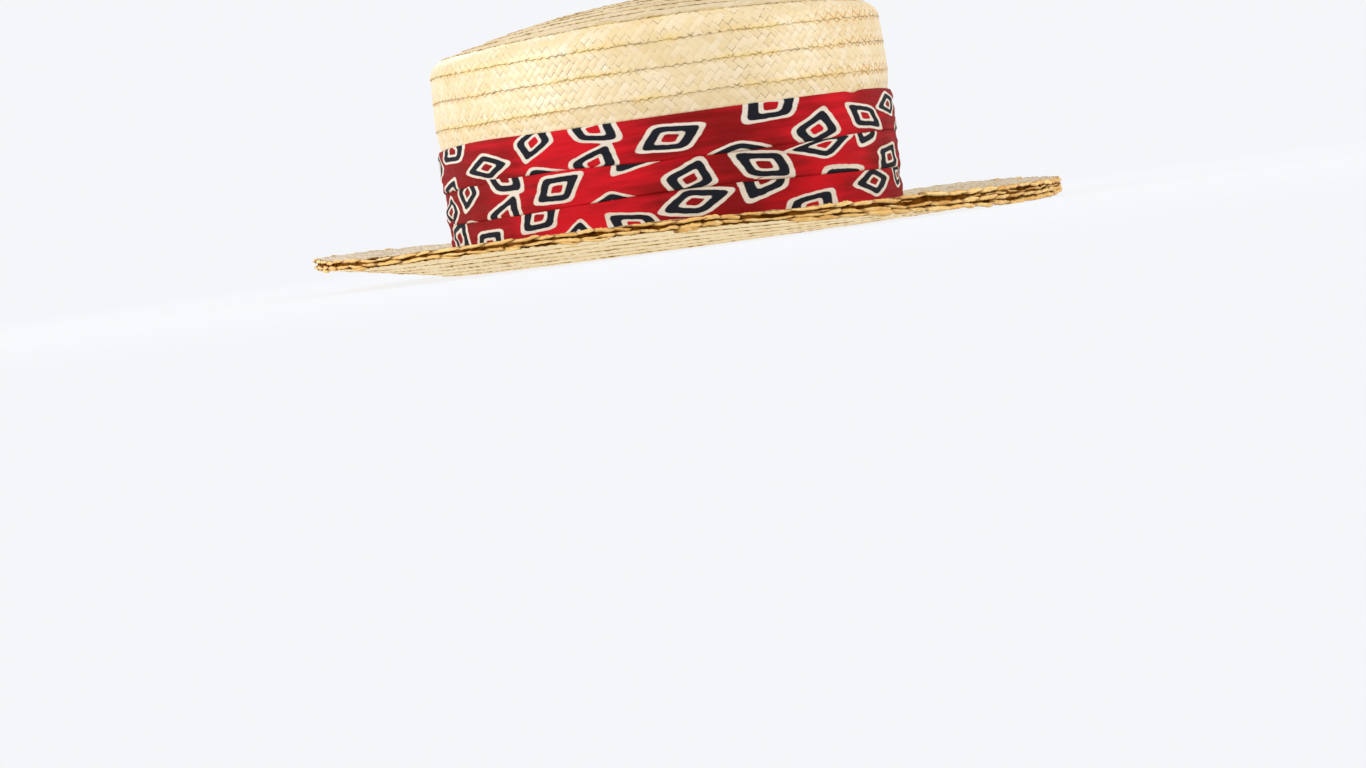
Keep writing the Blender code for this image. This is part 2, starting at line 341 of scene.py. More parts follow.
def brim_point(a, turn):
    """Plan and rise of the brim at a mm out from the head opening."""
    share = a / BRIM_SPAN
    ox, oy = oval(turn[None, :], -CROWN_WALL)
    rx, ry = oval(turn[None, :], BRIM_WIDTH)
    x = (ox + CROWN_CENTRE[0]) * (1 - share) + rx * share
    y = (oy + CROWN_CENTRE[1]) * (1 - share) + ry * share
    seat = SEAT_WIDTH / MM / BRIM_SPAN
    past = np.clip((share - seat) / (1 - seat), 0.0, 1.2)
    dish = BRIM_RISE * round_the_hat(WARP, 1, turn)[None, :] * past ** round_the_hat(WARP, 2, turn)[None, :]
    return x, y, dish, past


def gape(turn):
    """How open the two plies' edges are: 1 where they stand furthest apart, 0 where they touch."""
    return np.exp(-((bearing_of(turn) - 6.0) / 28.0) ** 2)


def splay(turn):
    """How far the lower ply's rim hangs below the upper one's, round the hat."""
    return 0.0021 * gape(turn) + 0.0004 * np.exp(-((bearing_of(turn) + 132.0) / 16.0) ** 2)


def brim_top_surface(a, off, turn):
    x, y, dish, _ = brim_point(a, turn)
    return np.stack(np.broadcast_arrays(x, y, BRIM_TOP + dish + off), -1)


def brim_under_surface(a, off, turn):
    x, y, dish, past = brim_point(a, turn)
    z = dish - off - splay(turn)[None, :] * past ** 5
    return np.stack(np.broadcast_arrays(x, y, np.maximum(z, ABOVE_FLOOR)), -1)


# Materials
def linear(red, green, blue):
    """A colour given as 8-bit screen values, in linear light."""
    return tuple(((c / 255.0) / 12.92 if c <= 10 else ((c / 255.0 + 0.055) / 1.055) ** 2.4)
                 for c in (red, green, blue)) + (1.0,)


class Graph:
    """A material's node tree, written as short calls."""

    def __init__(self, name):
        self.material = bpy.data.materials.new(name)
        self.material.use_nodes = True
        self.tree = self.material.node_tree
        self.shader = self.tree.nodes["Principled BSDF"]

    def link(self, value, socket):
        if hasattr(value, "is_output"):
            self.tree.links.new(value, socket)
        else:
            socket.default_value = value

    def node(self, kind):
        return self.tree.nodes.new("ShaderNode" + kind)

    def math(self, operation, *values, clamp=False):
        node = self.node("Math")
        node.operation, node.use_clamp = operation, clamp
        for value, socket in zip(values, node.inputs):
            self.link(value, socket)
        return node.outputs[0]

    def step(self, value, low, high, start=0.0, end=1.0):
        node = self.node("MapRange")
        node.interpolation_type = "SMOOTHSTEP"
        for number, item in enumerate((value, low, high, start, end)):
            self.link(item, node.inputs[number])
        return node.outputs[0]

    def parts(self, attribute):
        source = self.node("Attribute")
        source.attribute_name = attribute
        return self.split(source.outputs["Vector"])

    def split(self, vector):
        node = self.node("SeparateXYZ")
        self.link(vector, node.inputs[0])
        return node.outputs

    def times(self, a, b):
        return self.math("MULTIPLY", a, b)

    def plus(self, a, b):
        return self.math("ADD", a, b)

    def minus(self, a, b):
        return self.math("SUBTRACT", a, b)

    def fall(self, value, low, high):
        return self.step(value, low, high, 1.0, 0.0)

    def join(self, x, y, z=0.0):
        node = self.node("CombineXYZ")
        for value, socket in zip((x, y, z), node.inputs):
            self.link(value, socket)
        return node.outputs[0]

    def noise(self, vector, scale, detail=2.0, rough=0.5):
        node = self.node("TexNoise")
        for name, value in (("Vector", vector), ("Scale", scale), ("Detail", detail), ("Roughness", rough)):
            self.link(value, node.inputs[name])
        return node.outputs["Fac"]

    def white(self, vector):
        node = self.node("TexWhiteNoise")
        node.noise_dimensions = "3D"
        self.link(vector, node.inputs["Vector"])
        return node.outputs["Value"]

    def place(self):
        return self.node("TexCoord").outputs["Object"]

    def mix(self, share, first, second):
        """Two colours mixed, each either another node's or 8-bit screen values."""
        node = self.node("Mix")
        node.data_type = "RGBA"
        self.link(share, node.inputs[0])
        for value, socket in ((first, node.inputs[6]), (second, node.inputs[7])):
            self.link(linear(*value) if isinstance(value, tuple) else value, socket)
        return node.outputs[2]

    def bump(self, height, distance):
        node = self.node("Bump")
        self.link(distance, node.inputs["Distance"])
        self.link(height, node.inputs["Height"])
        self.link(node.outputs[0], self.shader.inputs["Normal"])

    def surface(self, colour, rough, gloss):
        self.link(colour, self.shader.inputs["Base Color"])
        self.link(rough, self.shader.inputs["Roughness"])
        self.link(gloss, self.shader.inputs["Specular IOR Level"])
        return self.material


def plait(g, u, v):
    """The two-over, two-under plait of weave_height in nodes, at u along and v across a row."""
    p, q = g.math("DIVIDE", g.plus(u, v), PLAIT), g.math("DIVIDE", g.minus(u, v), PLAIT)
    i, j = g.math("FLOOR", p), g.math("FLOOR", q)
    fp, fq = g.minus(p, i), g.minus(q, j)
    step = g.math("FLOORED_MODULO", g.minus(i, j), 4.0)
    second = g.math("GREATER_THAN", step, 1.5)
    first = g.minus(1.0, second)

    def choose(a, b):
        return g.plus(g.times(a, first), g.times(b, second))

    across = choose(fp, fq)
    along = choose(g.times(g.minus(g.plus(fq, 1.0), step), 0.5), g.times(g.plus(fp, g.minus(step, 2.0)), 0.5))
    strand = choose(i, g.plus(j, 531.0))
    crossed = choose(g.math("FLOOR", g.math("DIVIDE", g.plus(q, step), 2.0)),
                     g.math("FLOOR", g.math("DIVIDE", g.minus(p, step), 2.0)))
    side = g.times(g.math("MINIMUM", across, g.minus(1.0, across)), STRAND)
    end = g.times(g.math("MINIMUM", along, g.minus(1.0, along)), 2.0 * STRAND)
    return across, along, side, end, strand, crossed, second


def straw(name, body, pale, deep, line, line_strength, seam_shadow, rough=0.42, speckle=0.25, seam_shadow_share=0.75,
          edge_shadow=0.45, fold_share=0.95, fold_shading=(198, 142, 56), golden=(234, 203, 124),
          gloss=0.8, lip_shade=0.4, tick_share=0.0):
    """Plaited straw: strands over and under each other, with fine dark lines where they meet."""
    g = Graph(name)
    u, v, covered = g.parts("weave")
    row, lip, plain = g.parts("other")
    across, along, side, end, strand, crossed, second = plait(g, u, v)
    place = g.place()
    break_up, patch = g.noise(place, 420.0, 1.0), g.noise(place, 60.0, 1.0)
    tone, float_tone = g.white(g.join(strand, row, second)), g.white(g.join(strand, crossed, row))
    wide = g.noise(place, 38.0, 3.0)
    fibre = g.noise(g.join(g.times(across, 9.0), g.times(along, 1.5), strand), 1.0, 2.0)

    # Strands that differ in tone
    colour = g.mix(g.times(g.step(tone, 0.2, 1.0), 0.7), body, pale)
    for source, low, high, share in ((float_tone, 0.60, 1.0, 0.22), (wide, 0.42, 0.72, 0.30),
                                     (fibre, 0.50, 0.80, 0.22)):
        colour = g.mix(g.times(g.step(source, low, high), share), colour, deep)

    # Dark lines at the ends and sides of strands, stronger near the borders of a row
    border = g.math("MAXIMUM", g.fall(v, 0.8, 2.6), g.fall(covered, 0.8, 2.6))
    ends = g.times(g.fall(end, 0.04, 0.28),
                   g.times(g.step(break_up, 0.34, 0.50), g.step(float_tone, 0.05, 0.50, 0.15, 1.0)))
    sides = g.times(g.fall(side, 0.0, 0.17),
                    g.times(g.step(float_tone, 0.30, 0.75), g.step(break_up, 0.38, 0.58)))
    lines = g.times(g.math("MAXIMUM", ends, sides), g.step(patch, 0.34, 0.62, 0.15, 1.0))
    lines = g.math("MULTIPLY", lines, g.plus(line_strength, g.times(border, 0.25)), clamp=True)
    colour = g.mix(lines, colour, line)

    # Golden halos along the borders, and folds that zigzag there, faint in themselves and made stronger
    # towards the hat's sides by painted glancing light
    halo = g.times(g.step(g.math("MINIMUM", covered, v), 0.2, 2.0, 0.75, 0.0), g.step(patch, 0.36, 0.60))
    colour = g.mix(halo, colour, golden)
    fold = g.math("PINGPONG", g.plus(u, g.times(patch, 4.0)), 0.75 * PLAIT)
    above = g.math("ABSOLUTE", g.minus(v, g.times(fold, 0.90)))
    below = g.math("ABSOLUTE", g.minus(covered, g.minus(1.8, g.times(fold, 0.65))))
    folds = g.math("MAXIMUM", g.fall(above, 0.15, 0.80), g.fall(below, 0.15, 0.80))
    folds = g.times(folds, g.step(break_up, 0.30, 0.52))
    reach = g.math("MAXIMUM", g.fall(v, 2.6, 3.1), g.fall(covered, 1.8, 2.2))
    folds = g.times(folds, g.times(reach, fold_share))
    folds = g.times(folds, g.plus(0.12, g.times(plain, 0.88)))
    colour = g.mix(folds, colour, fold_shading)

    # Short dark ticks beside the seams, fewer where the painted glancing light is, and a faint zigzag
    # in the middle of a row that is painted glancing light alone
    ticks = g.math("MAXIMUM", g.times(g.fall(above, 0.08, 0.40), g.fall(v, 0.7, 1.5)),
                   g.times(g.step(below, 0.08, 0.40, 0.7, 0.0), g.fall(covered, 0.7, 1.5)))
    chance = g.noise(g.join(g.times(u, 0.30), row, 7.0), 1.0, 1.0)
    some = g.times(g.step(chance, 0.42, 0.54), g.step(break_up, 0.34, 0.54, 0.0, tick_share))
    ticks = g.times(g.times(ticks, some), g.minus(1.0, g.times(plain, 0.6)))
    colour = g.mix(ticks, colour, line)
    middle = g.math("ABSOLUTE", g.minus(g.times(g.minus(v, covered), 0.5), g.minus(g.times(fold, 0.55), 1.2)))
    faint = g.times(g.step(middle, 0.15, 0.60, 0.45, 0.0), g.times(plain, g.step(break_up, 0.34, 0.54)))
    colour = g.mix(faint, colour, fold_shading)

    # Painted shadow at the seams: a ragged dark line where a row runs under the next row's lip, a dark
    # line along the free edge and darker lip faces. Then specks of the straw's own
    dash = g.noise(g.join(g.times(u, 0.55), row, 0.0), 1.0, 2.0)
    ragged = g.plus(covered, g.times(g.minus(break_up, 0.5), 1.8))
    under_lip_shadow = g.times(g.fall(ragged, 0.05, 0.42), g.step(dash, 0.36, 0.60, 0.35, 1.0))
    colour = g.mix(g.times(under_lip_shadow, seam_shadow_share), colour, seam_shadow)
    free_edge_shadow = g.times(g.fall(v, 0.1, 0.7), g.step(break_up, 0.44, 0.56))
    colour = g.mix(g.times(free_edge_shadow, edge_shadow), colour, line)
    colour = g.mix(g.times(lip, g.step(dash, 0.38, 0.62, 0.0, lip_shade)), colour, seam_shadow)
    specks = g.times(g.step(g.noise(place, 900.0, 0.0), 0.78, 0.84), speckle)
    colour = g.mix(specks, colour, (95, 65, 30))

    relief = g.plus(g.times(g.step(end, 0.0, 0.8), 0.6), g.times(g.step(side, 0.0, 0.4), 0.4))
    g.bump(g.plus(relief, g.times(fibre, 0.25)), 0.00010)
    return g.surface(colour, rough, gloss)


def edge_straw():
    """The folded straw of the brim's edge: golden, with painted shade in the hollows, at the leaves' ends and
    along their rims.
    """
    g = Graph("edge_straw")
    along, turned, pick = g.parts("weave")
    hollow, brink, open_edge = g.parts("other")
    streak = g.noise(g.join(g.times(along, 0.25), g.times(turned, 2.2), pick), 1.0, 3.0)
    closed = g.minus(1.0, g.times(open_edge, 0.8))
    warm = g.times(closed, g.white(g.join(pick, 5.0, 2.0)))
    # Painted shade along a leaf's upper and lower rims, where it turns away
    rim_shade = g.times(g.step(brink, 0.25, 0.95, 0.0, 0.60), g.minus(1.0, g.times(closed, 0.5)))
    shaded = g.step(hollow, g.minus(0.55, g.times(open_edge, 0.3)), 0.95, 0.0, 0.93)
    colour = g.mix(g.white(g.join(pick, 3.0, 1.0)), (252, 218, 146), (220, 166, 86))
    for share, ink in (
            (g.times(g.step(streak, 0.46, 0.70), 0.75), (158, 98, 34)),
            (g.times(g.step(g.noise(g.place(), 260.0, 2.0), 0.50, 0.72), 0.5), (250, 224, 168)),
            (g.times(warm, 0.5), (240, 190, 108)),
            # Painted shade where a leaf starts under the one before it, and at its blunt end
            (g.step(along, 1.2, 2.8, 0.70, 0.0), (112, 64, 18)),
            (g.step(along, 9.3, 10.0, 0.0, 0.5), (120, 70, 22)),
            (rim_shade, (138, 86, 26)),
            # Painted shade in the hollow that faces the gap
            (g.times(shaded, g.minus(1.0, g.times(closed, 0.35))), (84, 42, 4))):
        colour = g.mix(share, colour, ink)
    g.bump(streak, 0.0001)
    return g.surface(colour, 0.5, 0.12)


def cotton():
    """Printed cotton: red, with rounded diamonds of cream, navy, cream and red from the edge in."""
    g = Graph("printed_cotton")
    distance, weave_u, weave_v = g.parts("print")
    light, place = g.parts("tone")[0], g.place()
    d = g.plus(distance, g.times(g.minus(g.noise(place, 300.0, 2.0), 0.5), 0.10))
    # Painted light and shade on the red: lit and shaded stretches round the hat from the tone table, broad
    # patches, and light tops and dark creases along the pleats
    broad_shade = g.noise(place, 45.0, 2.0)
    pleat_shade = g.noise(g.join(g.times(weave_u, 0.03), g.times(weave_v, 0.22), 0.0), 1.0, 3.0)
    light = g.plus(light, g.times(g.minus(broad_shade, 0.5), 0.9))
    light = g.plus(light, g.times(g.minus(pleat_shade, 0.5), 1.5))
    red = g.mix(g.step(light, 0.0, 1.0), (138, 8, 11), (211, 14, 31))
    cream, navy = (232, 221, 206), (22, 25, 36)
    colour = red
    for level, ink in zip((1.0,) + RINGS, (cream, navy, cream, red)):
        colour = g.mix(g.fall(d, level - INK_BLUR, level + INK_BLUR), colour, ink)
    thread = g.times(g.math("SINE", g.times(weave_u, 2 * math.pi / THREAD)),
                     g.math("SINE", g.times(weave_v, 2 * math.pi / THREAD)))
    slub = g.noise(g.join(g.times(weave_u, 0.12), g.times(weave_v, 1.6)), 1.0, 3.0)
    g.bump(g.plus(g.times(thread, 0.25), slub), 0.00022)
    return g.surface(colour, 0.7, 0.15)


def inner_gap():
    """The shaded straw between the two plies."""
    g = Graph("brim_gap")
    tone = g.step(g.noise(g.place(), 200.0, 2.0), 0.35, 0.65)
    return g.surface(g.mix(tone, (74, 36, 2), (122, 72, 18)), 0.8, 0.0)


# The crown
def make_crown(side_straw, tip_straw):
    side_turn, tip_turn, inside_turn = columns(500, 230), columns(420, 220), columns(210, 120)
    seams = [at_height(share * SIDE_HEIGHT) for share in SEAM_HEIGHTS]
    start, stop = PROFILE_LENGTH[SHOULDER_START], PROFILE_LENGTH[SHOULDER_START + SHOULDER_STEPS]
    seams.append(start + SHOULDER_SEAM * (stop - start))
    foot, tip_length = at_height(CROWN_FOOT), PROFILE_LENGTH[-1]

    side = Piece("crown_side")
    plain_strip(side, [ring(crown_surface, v, -LAP_STEP, side_turn)
                       for v in np.linspace(foot, seams[0] + 1.0, 6)], False)
    for number in range(len(SEAM_HEIGHTS)):
        braid_row(side, crown_surface, seams[number], seams[number + 1], side_turn, pitch=0.72,
                  seed=11 + number, flip=False, step=0.13, tooth=1.0, rough=0.07, lip=0.30)
    side.finish(side_straw, "crown_straw", "crown")

    tip = Piece("crown_tip")
    tip_seams = np.linspace(seams[-1], tip_length - 2.2, TIP_ROWS + 1)
    for number in range(TIP_ROWS):
        braid_row(tip, crown_surface, tip_seams[number], tip_seams[number + 1], tip_turn, pitch=0.95,
                  seed=31 + number, flip=False, step=0.22, tooth=0.9, curl=0.05, rough=0.16)
    plain_strip(tip, [ring(crown_surface, v, 0.1 * MM, tip_turn)
                      for v in np.linspace(tip_length - 2.6, tip_length, 4)], False)
    tip.finish(tip_straw, "crown_straw")

    inside = Piece("crown_inside")
    places = np.concatenate([np.linspace(foot, seams[-1], 60), np.linspace(seams[-1], tip_length, 50)[1:]])
    around = np.arange(len(inside_turn)) / 2.0
    rings = []
    for number, v in enumerate(places):
        ripple = 0.12 * MM * noise(around, np.full(around.shape, number / 2.0), 5, len(around) // 2)
        rings.append(ring(crown_surface, v, ripple - CROWN_WALL, inside_turn))
    plain_strip(inside, rings, True)
    plain_strip(inside, [rings[0], ring(crown_surface, foot, -LAP_STEP, inside_turn)], False)
    inside.finish(tip_straw, "crown_straw")


# The brim
LEAF_STATIONS, LEAF_SIDES = 15, 10  # points along and round one folded straw of the rim
RIM_POINTS = 2881


def leaf(rng, here, number, mark, height, hang, facing, size, inset):
    """One folded straw of the rim: points, along x round, and the values that edge_straw reads."""
    share = np.linspace(0.0, 1.0, LEAF_STATIONS)
    centre = here[LEAF_STATIONS // 2]
    cut_over, cut_below = rng.uniform(0.05, 0.55, 2)
    far = 0.95 - 0.30 * smooth_step(60.0, 110.0, np.abs(past_view(centre))) + 0.35 * gape(centre)
    bulk = far * size * rng.uniform(0.85, 1.32)
    bend = rng.uniform(-0.20, 0.20, (LEAF_STATIONS, LEAF_SIDES + 1))
    out = rng.uniform(-0.30, 0.30) + 0.80 * share - 0.60 - inset
    up = rng.uniform(-0.34, 0.34) + rng.uniform(-1.1, 1.1) * (share - 0.5)
    up = up + 0.10 * np.sin(share * 9.0 + number)
    x, y, dish, _ = brim_point(BRIM_SPAN - 1.0, here)
    rim_x, rim_y, _, _ = brim_point(BRIM_SPAN, here)
    way = np.stack([(rim_x - x)[0], (rim_y - y)[0]])
    way = way / np.hypot(*way)
    level = height + dish[0] - hang(here)
    rows, shade = [], []
    for item, angle in enumerate(np.linspace(0.0, 2 * math.pi, LEAF_SIDES + 1)[:-1]):
        over = math.sin(angle)
        crease = 0.84 + 0.16 * math.cos(3.0 * angle + number) + bend[:, item]
        blunt = np.minimum(1.0, (1.0 - share) / (cut_over if over > 0 else cut_below)) ** 0.8
        deep = (0.5 + 1.2 * share ** 0.7) * blunt + 0.12
        thick = bulk * (0.35 + 0.65 * share ** 0.6) * blunt + 0.05
        reach = (out + deep * crease * math.cos(angle)) * MM
        rise = (up + thick * crease * math.copysign(abs(over) ** 0.85, over)) * MM
        rows.append(np.stack([x[0] + way[0] * reach, y[0] + way[1] * reach,
                              np.maximum(level + rise, 1.5 * ABOVE_FLOOR)], -1))
        shade.append(np.stack([np.full(LEAF_STATIONS, max(0.0, facing * over)),
                               np.full(LEAF_STATIONS, abs(over) ** 3), gape(here)], -1))
    points, shade = np.stack(rows + rows[:1], 1), np.stack(shade + shade[:1], 1)
    weave = np.meshgrid(share * 10.0, np.linspace(0.0, 10.0, LEAF_SIDES + 1), [float(number + mark)],
                        indexing="ij")
    return points, {"weave": np.stack(weave, -1)[:, :, 0], "other": shade}


def add_leaves(piece, rng, rim, height, hang, share_on, mark, facing, size=1.0, inset=0.0, shortest=6.5):
    """Folded straws one after another round the rim, each thickening to a blunt, slanted end.

    height is their middle over the flat brim's foot. hang and share_on give, for a turn, how far they sag and
    how many there are. mark tells the rows apart. facing is the side in the gap's shade: 1 for the top,
    -1 for the underside and 0 for neither. size scales their height, and inset is how far in they lie.
    """
    rim_turn, path = rim
    longest = 12.0
    place = rng.uniform(0.0, 5.0)
    number = 0
    while place < path[-1] - 2.0:
        length = rng.uniform(shortest, longest)
        beginning = bearing_of(np.interp(place % path[-1], path, rim_turn))
        length = length * (1.0 + 0.5 * math.exp(-((beginning + 112.0) / 32.0) ** 2))
        stop = min(place + length * 1.25, path[-1] + 4.0)
        here = np.interp(np.linspace(place, stop, LEAF_STATIONS) % path[-1], path, rim_turn)
        place += length
        number += 1
        if rng.uniform() > share_on(here[LEAF_STATIONS // 2]):
            continue
        points, values = leaf(rng, here, number, mark, height, hang, facing, size, inset)
        piece.add(points, values, True, closed=False)


def make_brim(top_straw, lit_under_straw, edge, gap):
    turn = columns(520, 300)
    upper_inset, lower_inset, tuck = 1.6, 1.2, 1.4
    seams = np.linspace(0.0, BRIM_SPAN - upper_inset, BRIM_ROWS + 1)
    upper = Piece("brim_upper_braid")
    for row in range(BRIM_ROWS):
        braid_row(upper, brim_top_surface, seams[row + 1], seams[row], turn, pitch=0.95, seed=51 + row,
                  flip=False, tuck=tuck if row else 0.0, rough=0.22, curl=0.25, tooth=0.9)
    upper.finish(top_straw, "brim_straw", "brim_upper")

    lower = Piece("brim_lower_braid")
    for row in range(BRIM_ROWS):
        outer = BRIM_SPAN - lower_inset if row == BRIM_ROWS - 1 else seams[row + 1]
        inner = seams[row] if row else SEAT_WIDTH / MM * 0.2
        braid_row(lower, brim_under_surface, outer, inner, turn, pitch=0.95, seed=71 + row, flip=True,
                  step=0.12, tuck=tuck if row else 0.0, rough=0.14, tooth=1.2, lip=0.34)
    wall = [ring(brim_top_surface, 0.0, height - BRIM_TOP, turn)
            for height in (ABOVE_FLOOR, 0.0012, 0.0024, CROWN_FOOT)]
    plain_strip(lower, [ring(brim_under_surface, 1.4, 0.0, turn)] + wall, True)
    lower.finish(lit_under_straw, "brim_straw", "brim_lower")

    # A dark core between the plies' edges, coloured as painted shade
    core = Piece("brim_edge_core")
    inner, outer = BRIM_SPAN - 3.0, BRIM_SPAN - 1.3
    rings = [ring(brim_top_surface, a, -0.55 * MM, turn) for a in (inner, outer)]
    rings += [ring(brim_under_surface, a, -0.45 * MM, turn) for a in (outer, inner)]
    plain_strip(core, rings, True)
    core.finish(gap, "brim_straw")

    rim_turn = np.radians(np.linspace(-180.0, 180.0, RIM_POINTS))
    rim = rim_turn, length_along(ring(brim_top_surface, BRIM_SPAN, 0.0, rim_turn)[:, :2])
    rng = np.random.default_rng(5)
    upper_middle, lower_middle = BRIM_TOP - BRIM_PLY / 2.0, BRIM_PLY / 2.0
    upper_edge, lower_edge = Piece("brim_edge_upper"), Piece("brim_edge_lower")
    add_leaves(upper_edge, rng, rim, upper_middle + 0.0002, hang=lambda t: -0.0005 * gape(t),
               share_on=lambda t: 1.0, mark=0, facing=-1.0)
    add_leaves(upper_edge, rng, rim, upper_middle - 0.0008, hang=lambda t: splay(t) * 0.2,
               share_on=lambda t: 0.8 * gape(t), mark=200, facing=0.0, size=0.45, inset=0.7, shortest=6.0)
    add_leaves(lower_edge, rng, rim, lower_middle + 0.0003, hang=lambda t: splay(t) * 0.45,
               share_on=lambda t: 1.0, mark=400, facing=1.0)
    add_leaves(lower_edge, rng, rim, lower_middle - 0.0007, hang=lambda t: splay(t) * 1.10,
               share_on=lambda t: 1.0 if gape(t) > 0.25 else 0.25, mark=800, facing=1.0)
    upper_edge.finish(edge, "brim_straw")
    lower_edge.finish(edge, "brim_straw")


# The band
RINGS = (0.805, 0.43, 0.26)  # shares of a motif's size where navy, inner cream and middle start
ROUNDING = 6.5  # how square a motif's corners are
INK_BLUR = 0.022  # half the blur where two inks meet, as such a share too
THREAD = 0.45  # mm, pitch of the cotton's threads
MOTIF_SIZE = 1.0 / 0.95  # of a motif as printed, over its charted size
LOWER_FOLD, UPPER_FOLD = 0.352, 0.632  # shares of BAND_HEIGHT
TIER_ROWS = 26  # rows of points from a tier's foot to its head
CREASES = (
    # height / FOLD_DEPTH, how many round the hat, their own height, shift from tier to tier, seed
    (0.24, 22, 0.0031, 9, 60), (0.17, 46, 0.0013, 5, 70), (0.12, 14, 0.0080, 3, 80),
)

# The repeat as it falls round the hat, charted one by one: the tier that a motif is on, then its four
# corners in turn, each as mm round the crown from bearing -45 and mm above the rest plane
MOTIFS = (
    (3, -134, 47.0, -107.5, 46.8, -102.5, 53.5, -120, 59.0),
    (3, -104.8, 41.2, -86.0, 36.8, -70.8, 43.6, -89.5, 48.9),
    (3, -69.4, 50.6, -62.9, 41.3, -46.6, 49.6, -53.0, 58.0),
    (3, -70.0, 32.0, -49.0, 28.0, -40.5, 36.4, -60.8, 40.0),
    (3, -136, 37.0, -130, 27.0, -112, 31.5, -116.5, 40.8),
    (3, -42.0, 55.5, -36.8, 47.0, -17.0, 45.3, -20.5, 57.0),
    (3, -42.5, 39.5, -38.0, 31.0, -19.4, 36.0, -22.0, 46.4),
    (3, -12.7, 39.8, 8.6, 38.2, 17.9, 48.4, -4.6, 49.7),
    (3, 14.5, 34.7, 29.0, 25.0, 43.0, 35.3, 28.6, 39.5),
    (3, 31.0, 45.2, 52.8, 46.2, 57.5, 56.5, 34.0, 57.0),
    (3, 50.2, 40.4, 57.0, 32.0, 75.4, 37.2, 68.8, 48.7),
    (3, 79.0, 49.0, 83.5, 38.6, 106.8, 36.2, 99.5, 45.6),
    (3, 100.8, 45.2, 122, 41.0, 134, 47.0, 114.5, 52.2),
    (3, -158, 46.0, -146, 38.0, -134.5, 45.0, -146, 54.0),
    (3, 123, 36.5, 136, 28.0, 148, 36.0, 136, 41.0),
    (2, -119.2, 34.6, -112.2, 24.8, -95.6, 32.8, -103, 42.0),
    (2, -146, 27.0, -131, 19.5, -118.5, 26.5, -132, 34.0),
    (2, -92.0, 41.0, -84.8, 31.3, -66.9, 30.6, -69.0, 46.0),
    (2, -93.0, 23.5, -88.0, 15.0, -68.6, 19.0, -71.2, 31.8),
    (2, -62.8, 24.9, -42.8, 24.6, -35.2, 35.9, -56.3, 35.6),
    (2, -118, 19.5, -104, 9.0, -92.0, 19.5, -109, 22.4),
    (2, -24.3, 31.8, 3.4, 36.8, -1.0, 46.0, -20.5, 43.0),
    (2, -4.2, 28.9, 2.0, 19.0, 19.2, 23.8, 14.0, 35.7),
    (2, 29.6, 24.3, 51.0, 21.2, 46.8, 33.0, 23.8, 35.6),
    (2, -36.5, 21.5, -24.0, 11.0, -12.0, 22.2, -25.9, 26.5),
    (2, 46.0, 32.8, 66.5, 27.4, 84.0, 36.4, 66.0, 36.4),
    (2, 82.0, 43.0, 85.4, 30.0, 99.5, 32.7, 102.5, 44.0),
    (2, 98.3, 19.0, 121, 20.5, 122, 31.0, 100, 29.4),
    (2, 60.0, 9.0, 84.0, 7.0, 87.0, 23.0, 63.3, 24.7),
    (1, -138, 19.0, -128, 6.0, -110.5, 11.0, -117, 26.0),
    (1, -106.5, 8.5, -87.0, 5.5, -83.2, 17.0, -101.8, 16.9),
    (1, -71.8, 13.8, -53.0, 15.0, -49.0, 24.5, -68.5, 25.5),
    (1, -51.0, 10.5, -43.0, 3.0, -33.0, 10.0, -40.3, 17.4),
    (1, -8.0, 14.8, 11.5, 11.5, 26.1, 20.7, 4.5, 23.8),
    (1, 29.0, 13.9, 47.4, 18.8, 50.6, 30.0, 24.2, 30.0),
    (1, -29.6, 18.3, -26.0, 5.0, -4.5, 8.0, -9.0, 15.8),
    (1, 78.2, 15.8, 94.5, 9.2, 110.2, 16.6, 93.0, 22.6),
    (1, 44.0, 5.5, 68.0, 3.0, 68.4, 16.0, 46.5, 13.6),
    (1, 118, 12.0, 130, 14.0, 128, 22.0, 112.5, 22.0),
)


def far_motifs(total):
    """The same kind of motif, spread plainly over the part of the band that the chart leaves out."""
    rng = np.random.default_rng(21)
    made = []
    places = np.linspace(160.0, total - 180.0, 8)
    for tier, level, shift in ((3, 45.0, 0.0), (3, 36.0, 0.5), (2, 29.0, 0.25), (2, 20.5, 0.75),
                               (1, 14.0, 0.6), (1, 22.5, 0.1)):
        for s in places + shift * (places[1] - places[0]) + rng.uniform(-2.5, 2.5, len(places)):
            wide, tall, lean = rng.uniform(11.5, 14.0), rng.uniform(5.8, 7.2), rng.uniform(-5.0, 6.0)
            z = level + rng.uniform(-1.2, 1.2)
            swing = rng.uniform(-2.5, 2.5)
            if s < total - 145.0 - 9.0 * tier:
                made.append((tier, s - wide, z - swing, s + lean, z - tall,
                             s + wide, z + swing, s - lean, z + tall))
    return made


def print_share(s, z, tier, motifs, total):
    """How far out a point lies in the nearest motif of a tier: 0 at its middle and 1 at its outline."""
    nearest = np.full(s.shape, 3.0)
    for which, *numbers in motifs:
        if which != tier:
            continue
        corner = np.array(numbers).reshape(4, 2)
        centre = corner.mean(0)
        local = np.mod(s - centre[0] + total / 2.0, total) - total / 2.0 + centre[0]
        shares = 0.0
        for here, after in zip(corner, np.roll(corner, -1, 0)):
            edge = after - here
            normal = np.array([edge[1], -edge[0]]) / np.hypot(*edge)
            if normal @ (here - centre) < 0:
                normal = -normal
            reach = normal @ (here - centre)
            past = ((local - centre[0]) * normal[0] + (z - centre[1]) * normal[1]) / reach
            shares = shares + np.clip(past, 0, 9) ** ROUNDING
        nearest = np.minimum(nearest, shares ** (1.0 / ROUNDING))
    return nearest


